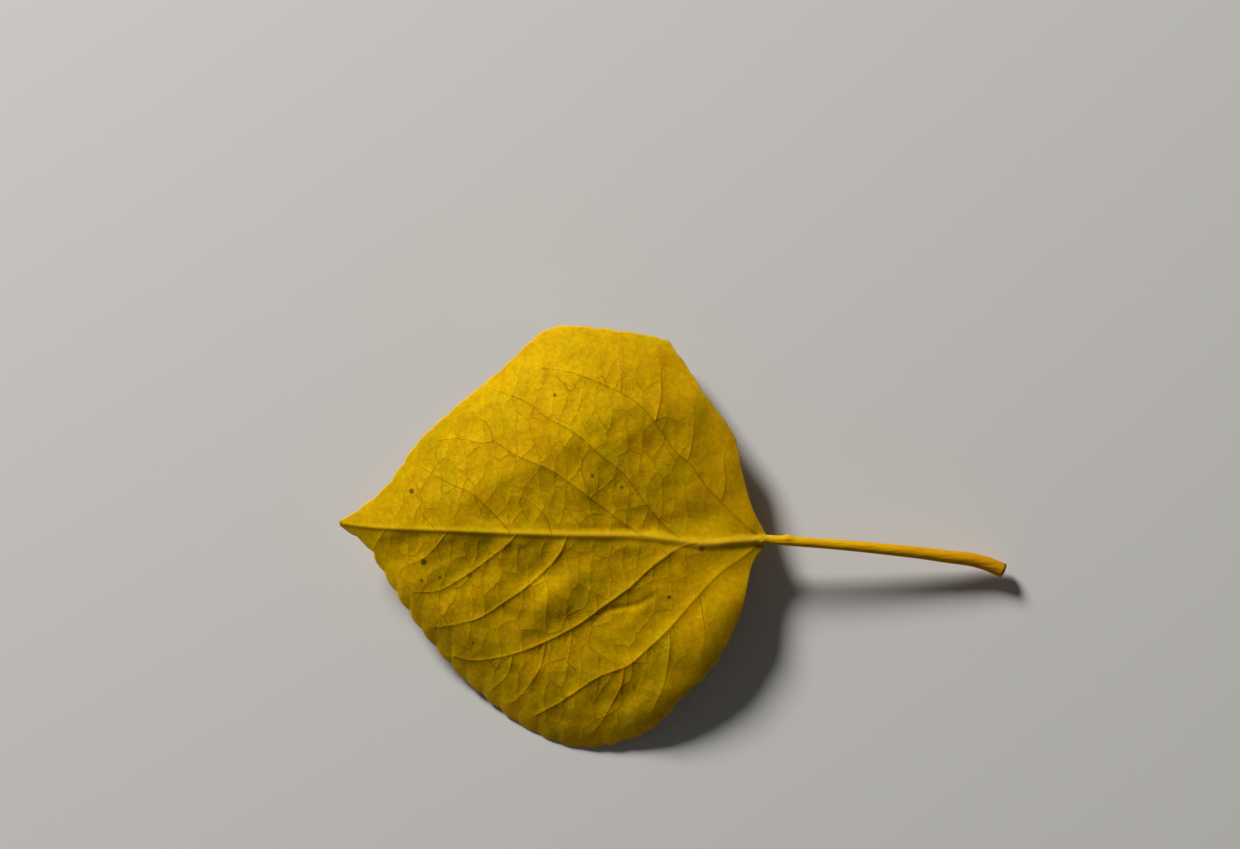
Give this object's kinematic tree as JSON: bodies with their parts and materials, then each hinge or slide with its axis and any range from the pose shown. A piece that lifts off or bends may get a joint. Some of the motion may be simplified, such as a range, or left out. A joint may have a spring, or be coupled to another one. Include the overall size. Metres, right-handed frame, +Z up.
{
  "type": "fallen leaf",
  "caption": "Fallen broad leaf with a pointed tip, finely toothed margin, raised veins on its upturned underside and a long stalk; it lies arched on the ground.",
  "frame": {"origin": "under the middle of the leaf's box in X and Y, on the surface that it rests on", "axes": "+X towards the cut end of the stalk, with the blade's tip at -X; +Z up, out of the upturned underside with its raised veins; +Y towards the margin on the right of the midrib as seen from the stalk, looking down"},
  "size_m": [0.0802, 0.0512, 0.0077],
  "materials": {
    "leaf_tissue": "satin"
  },
  "bodies": {
    "root": {"leaf": "leaf_tissue"}
  },
  "joints": []
}
